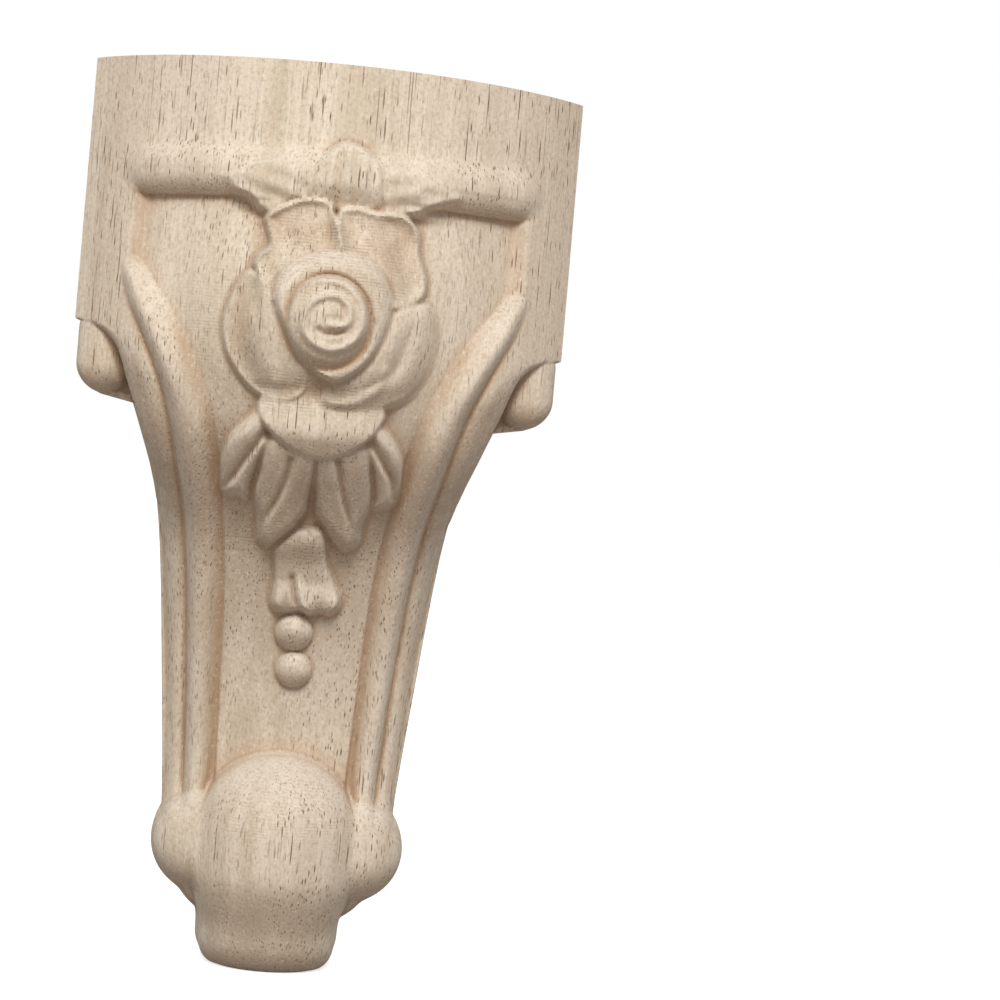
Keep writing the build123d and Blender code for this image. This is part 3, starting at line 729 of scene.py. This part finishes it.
def build_leg():
    """Closed mesh: rings of points from the sole to the top."""
    heights = np.linspace(0, TOP, ROWS + 1)
    across = columns_across(heights)
    gz = np.repeat(heights[:, None], across.shape[1], axis=1)
    depth = np.maximum(front_depth(across, gz), np.abs(across))
    depth[:, 0] = np.abs(across[:, 0])
    depth[:, -1] = np.abs(across[:, -1])
    front = np.stack([across, CORNER - depth, gz], axis=2)

    # Two flat back faces that meet in the corner edge.
    share = np.linspace(1, 0, BACK_COLUMNS + 1)[None, :]
    right = across[:, -1:] * share[:, 1:]
    left = across[:, :1] * share[:, ::-1][:, 1:-1]
    behind = np.concatenate([right, left], axis=1)
    bz = np.repeat(heights[:, None], behind.shape[1], axis=1)
    back = np.stack([behind, CORNER - np.abs(behind), bz], axis=2)

    rings = np.concatenate([front, back], axis=1)
    count = rings.shape[1]
    i = np.arange(ROWS)[:, None] * count
    j = np.arange(count)[None, :]
    after = (j + 1) % count
    quads = np.stack([i + j, i + after, i + count + after, i + count + j], axis=2).reshape(-1, 4)
    faces = quads.tolist()
    faces.append(list(range(count))[::-1])
    faces.append(list(range(ROWS * count, ROWS * count + count)))
    mesh = bpy.data.meshes.new("carved_wood")
    mesh.from_pydata((rings.reshape(-1, 3) * MM).tolist(), [], faces)
    mesh.update()
    piece = bpy.data.objects.new("carved_wood", mesh)
    bpy.context.scene.collection.objects.link(piece)
    return piece


def thin_out(piece):
    """Brings the mesh down to the number of triangles that is kept."""
    piece.data.calc_loop_triangles()
    count = len(piece.data.loop_triangles)
    if count > TRIANGLES:
        thin = piece.modifiers.new("thin", "DECIMATE")
        thin.ratio = TRIANGLES / count
        graph = bpy.context.evaluated_depsgraph_get()
        found = bpy.data.meshes.new_from_object(piece.evaluated_get(graph))
        old = piece.data
        piece.modifiers.clear()
        piece.data = found
        bpy.data.meshes.remove(old)


def blurred(grid, cells):
    """Grid of numbers, evened out over a number of cells."""
    reach = int(3 * cells)
    weights = np.exp(-0.5 * (np.arange(-reach, reach + 1) / cells) ** 2)
    weights /= weights.sum()
    for axis in (0, 1):
        padded = np.pad(grid, [(reach, reach) if a == axis else (0, 0) for a in (0, 1)], mode="edge")
        grid = np.apply_along_axis(lambda line: np.convolve(line, weights, mode="valid"), axis, padded)
    return grid


def store(piece, name, values):
    """Keeps a number at each point of the mesh, for the material to read."""
    kept = piece.data.attributes.new(name, "FLOAT", "POINT")
    kept.data.foreach_set("value", values.astype(np.float32))


def mark_points(piece):
    """Stores the painted cove shade that is partly cutter brown, the cutter lines, and how far each point
    lies in a groove or on a ridge, from which the material paints shade and highlight.
    """
    points = np.empty(len(piece.data.vertices) * 3)
    piece.data.vertices.foreach_get("co", points)
    x, y, z = points.reshape(-1, 3).T / MM
    on_front = step(0.2, 1.5, (CORNER - y) - np.abs(x))
    # Painted shade in the coves, edge bands, panel walls and rose hollows, partly brown left by the cutter.
    store(piece, "cove_shade_and_burn", cove_shade_and_burn(x, z) * on_front)
    store(piece, "cutter", cutter(x, z) * on_front)

    # Hollows are the difference between the front and the same front evened out.
    px = np.arange(-42, 42 + CELL, CELL)
    pz = np.arange(-2, 152 + CELL, CELL)
    gx, gz = np.meshgrid(px, pz)
    depth = front_depth(gx, np.clip(gz, 0.01, TOP))
    inside = step(0.6, 0.95, blurred((depth > np.abs(gx)).astype(float), OUTLINE_FADE / CELL))
    depth = np.maximum(depth, np.abs(gx) * 0.9)
    col = np.clip((x - px[0]) / CELL, 0, len(px) - 2)
    row = np.clip((z - pz[0]) / CELL, 0, len(pz) - 2)
    c, r = col.astype(int), row.astype(int)
    u, v = col - c, row - r
    for name, reach in HOLLOWS:
        hollow = (blurred(depth, reach / CELL) - depth) * inside
        low = hollow[r, c] * (1 - u) + hollow[r, c + 1] * u
        high = hollow[r + 1, c] * (1 - u) + hollow[r + 1, c + 1] * u
        store(piece, name, (low * (1 - v) + high * v) * on_front)


class Nodes:
    """Short way to write the node tree of a material or a world."""

    def __init__(self, owner):
        owner.use_nodes = True
        self.tree = owner.node_tree
        self.tree.nodes.clear()

    def add(self, kind, inputs=None, **settings):
        node = self.tree.nodes.new(kind)
        for key, value in settings.items():
            setattr(node, key, value)
        for key, value in (inputs or {}).items():
            self.put(node.inputs[key], value)
        return node

    def put(self, socket, value):
        if isinstance(value, bpy.types.NodeSocket):
            self.tree.links.new(value, socket)
        else:
            socket.default_value = value

    def math(self, operation, a, b=0.0):
        return self.add("ShaderNodeMath", {0: a, 1: b}, operation=operation).outputs[0]

    def fit(self, value, low, high, to_low=0.0, to_high=1.0):
        """Value between two limits, eased, as a share between two others."""
        inputs = dict(enumerate((value, low, high, to_low, to_high)))
        return self.add("ShaderNodeMapRange", inputs, interpolation_type="SMOOTHSTEP").outputs[0]

    def mix(self, share, one, other):
        return self.add("ShaderNodeMix", {0: share, 6: one, 7: other}, data_type="RGBA").outputs[2]

    def scaled(self, vector, scale):
        return self.add("ShaderNodeVectorMath", {0: vector, 1: scale}, operation="MULTIPLY").outputs[0]

    def noise(self, place, scale, detail=2.0, rough=0.5, distortion=0.0):
        inputs = {"Vector": self.scaled(place, scale), "Scale": 1.0}
        inputs.update({"Detail": detail, "Roughness": rough, "Distortion": distortion})
        return self.add("ShaderNodeTexNoise", inputs).outputs[0]

    def mark(self, name):
        """Number that is stored at the points of the mesh."""
        return self.add("ShaderNodeAttribute", attribute_name=name).outputs["Fac"]


def colour(screen):
    """Linear colour of a screen colour."""
    parts = []
    for part in screen:
        v = part / 255
        parts.append(v / 12.92 if v <= 0.04045 else ((v + 0.055) / 1.055) ** 2.4)
    return (*parts, 1.0)


def wood():
    material = bpy.data.materials.new("pale_wood")
    n = Nodes(material)
    place = n.add("ShaderNodeTexCoord").outputs["Object"]
    rise = n.add("ShaderNodeSeparateXYZ", {0: place}).outputs[2]
    normal = n.add("ShaderNodeNewGeometry").outputs["Normal"]
    up = n.add("ShaderNodeSeparateXYZ", {0: normal}).outputs[2]

    # Growth bands that run up the leg, and fine fibres.
    bands = n.noise(place, BAND_SCALE, 3.0, 0.55, 0.4)
    tint = n.mix(n.fit(bands, 0.36, 0.66), colour(LATE_WOOD), colour(EARLY_WOOD))
    broad = n.noise(place, BROAD_SCALE)
    tint = n.mix(n.fit(broad, 0.4, 0.7, 0.0, 0.5), tint, colour(BROAD_BAND))
    fibres = n.noise(place, FIBRE_SCALE, 3.0, 0.6)
    tint = n.mix(n.fit(fibres, 0.35, 0.7, 0.0, 0.35), tint, colour(FIBRE))

    # Pores: short dark dashes along the grain, in clusters.
    pores = 0.0
    for scale, size, least in PORES:
        inputs = {"Vector": n.scaled(place, scale), "Scale": 1.0, "Randomness": 1.0}
        cells = n.add("ShaderNodeTexVoronoi", inputs, feature="F1")
        chance = n.add("ShaderNodeSeparateColor", {0: cells.outputs["Color"]}).outputs[0]
        dash = n.fit(cells.outputs["Distance"], size, size * 0.35)
        dash = n.math("MULTIPLY", dash, n.fit(chance, least, least + 0.35))
        pores = n.math("MAXIMUM", pores, dash)
    clusters = n.noise(place, CLUSTER_SCALE, 2.0, 0.6)
    pores = n.math("MULTIPLY", pores, n.fit(clusters, 0.36, 0.58, 0.25, 1.0))
    tint = n.mix(n.math("MULTIPLY", pores, 0.95), tint, colour(PORE))

    # Painted shade in the coves (partly brown left by the cutter), hollows and grooves, a painted highlight
    # on the ridges, painted light on surfaces that face up and painted shade on those that face down, and a
    # fine speckle.
    fine = n.mark("fine")
    patchy = n.noise(place, PATCH_SCALE, 3.0, 0.6)
    speckle = n.noise(place, SPECKLE_SCALE, 2.0, 0.6)
    for share, shade in (
        # Painted shade in the coves and hollows, partly brown left by the cutter, made patchy.
        (n.math("MULTIPLY", n.mark("cove_shade_and_burn"), n.fit(patchy, 0.3, 0.7, 0.35, 0.75)), COVE_SHADE_AND_BURN),
        # Painted shade in the wide hollows.
        (n.fit(n.mark("wide"), 0.3, 1.4, 0.0, 0.3), HOLLOW_SHADE),
        # Painted shade in the fine grooves.
        (n.fit(fine, 0.08, 0.4, 0.0, 0.4), GROOVE_SHADE),
        # Painted highlight on the ridges.
        (n.fit(fine, -0.05, -0.35, 0.0, 0.15), RIDGE_HIGHLIGHT),
        # Painted light on surfaces that face up, painted shade on surfaces that face down.
        (n.fit(up, 0.2, 0.9, 0.0, 0.5), FACING_UP_LIGHT),
        (n.fit(up, -0.05, -0.7, 0.0, 0.5), FACING_DOWN_SHADE),
        (n.fit(speckle, 0.48, 0.72, 0.0, 0.5), SPECKLE_DARK),
        (n.fit(speckle, 0.44, 0.24, 0.0, 0.4), SPECKLE_LIGHT),
    ):
        tint = n.mix(share, tint, colour(shade))

    # Fine lines left by the cutter, about two to the millimetre, broken here and there.
    shift = n.noise(place, SHIFT_SCALE)
    turns = n.math("ADD", n.math("MULTIPLY", rise, LINE_TURNS), n.math("MULTIPLY", shift, LINE_WAVER))
    lines = n.math("MULTIPLY", n.fit(n.math("SINE", turns), -0.2, 1.0), n.mark("cutter"))
    broken = n.noise(place, BREAK_SCALE)
    lines = n.math("MULTIPLY", lines, n.fit(broken, 0.4, 0.62))
    tint = n.mix(n.math("MULTIPLY", lines, 0.4), tint, colour(CUTTER_LINE))

    # Fibres and speckle stand out, pores and cutter lines are cut in.
    height = n.math("SUBTRACT", n.math("MULTIPLY", fibres, 0.5), n.math("MULTIPLY", pores, 0.8))
    height = n.math("ADD", height, n.math("MULTIPLY", speckle, 0.6))
    height = n.math("SUBTRACT", height, n.math("MULTIPLY", lines, 0.5))
    bump = n.add("ShaderNodeBump", {"Strength": 0.5, "Distance": 0.0002, "Height": height})
    rough = n.fit(fibres, 0.3, 0.7, 0.66, 0.82)
    shader = n.add("ShaderNodeBsdfPrincipled", {"Base Color": tint, "Roughness": rough})
    shader.inputs["Specular IOR Level"].default_value = 0.3
    n.put(shader.inputs["Normal"], bump.outputs[0])
    n.add("ShaderNodeOutputMaterial", {"Surface": shader.outputs[0]})
    return material


def add_floor():
    """White floor that keeps the shadow and throws little light back on the leg."""
    material = bpy.data.materials.new("floor_white")
    n = Nodes(material)
    matt = n.add("ShaderNodeBsdfDiffuse", {"Color": FLOOR_TINT})
    glow = n.add("ShaderNodeEmission", {"Color": WHITE, "Strength": FLOOR_GLOW})
    both = n.add("ShaderNodeAddShader", {0: matt.outputs[0], 1: glow.outputs[0]})
    dim = n.add("ShaderNodeBsdfDiffuse", {"Color": FLOOR_BOUNCE})
    seen = n.add("ShaderNodeLightPath").outputs["Is Camera Ray"]
    mixed = n.add("ShaderNodeMixShader", {0: seen, 1: dim.outputs[0], 2: both.outputs[0]})
    n.add("ShaderNodeOutputMaterial", {"Surface": mixed.outputs[0]})
    mesh = bpy.data.meshes.new("floor")
    r = FLOOR_HALF
    mesh.from_pydata([(-r, -r, 0), (r, -r, 0), (r, r, 0), (-r, r, 0)], [], [(0, 1, 2, 3)])
    mesh.materials.append(material)
    plane = bpy.data.objects.new("floor", mesh)
    bpy.context.scene.collection.objects.link(plane)


def add_world():
    """Even light from all sides, in front of a white background."""
    made = bpy.data.worlds.new("studio")
    bpy.context.scene.world = made
    n = Nodes(made)
    ray = n.add("ShaderNodeLightPath")
    seen = n.math("MAXIMUM", ray.outputs["Is Camera Ray"], ray.outputs["Is Glossy Ray"])
    light = n.add("ShaderNodeBackground", {"Color": WHITE, "Strength": SKY_STRENGTH})
    white = n.add("ShaderNodeBackground", {"Color": WHITE, "Strength": 1.0})
    both = n.add("ShaderNodeMixShader", {0: seen, 1: light.outputs[0], 2: white.outputs[0]})
    n.add("ShaderNodeOutputWorld", {"Surface": both.outputs[0]})


def add_lamp(name, place, target, size, power):
    data = bpy.data.lights.new(name, "AREA")
    data.shape = "DISK"
    data.size = size
    data.energy = power
    item = bpy.data.objects.new(name, data)
    item.location = place
    item.rotation_euler = (Vector(target) - Vector(place)).to_track_quat("-Z", "Y").to_euler()
    bpy.context.scene.collection.objects.link(item)


def add_camera():
    """Camera of the photograph: its place, and the directions right, down and ahead of it."""
    data = bpy.data.cameras.new("photo_view")
    data.sensor_width = 36.0
    data.lens = 100.11
    data.clip_start = 0.01
    data.clip_end = 50
    item = bpy.data.objects.new("photo_view", data)
    right = (0.99225327, -0.08941442, 0.08624682)
    down = (0.08557969, -0.01127534, -0.99626753)
    ahead = (0.09005314, 0.99593068, -0.00353594)
    spot = (-0.009615, -0.478888, 0.085075)
    rows = [[right[i], -down[i], -ahead[i], spot[i]] for i in range(3)]
    item.matrix_world = Matrix(rows + [[0, 0, 0, 1]])
    bpy.context.scene.collection.objects.link(item)
    bpy.context.scene.camera = item


leg = build_leg()
thin_out(leg)
mark_points(leg)
leg.data.materials.clear()
leg.data.materials.append(wood())
leg.data.shade_smooth()
leg.data.set_sharp_from_angle(angle=math.radians(SHARP_DEGREES))
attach(leg, "root")
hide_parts("carved_leg")

add_floor()
add_world()
add_lamp("key", place=(-0.06, -1.05, 0.82), target=(0, -0.02, 0.08), size=0.4, power=12.2)
add_camera()
bpy.context.scene.view_settings.view_transform = "Standard"
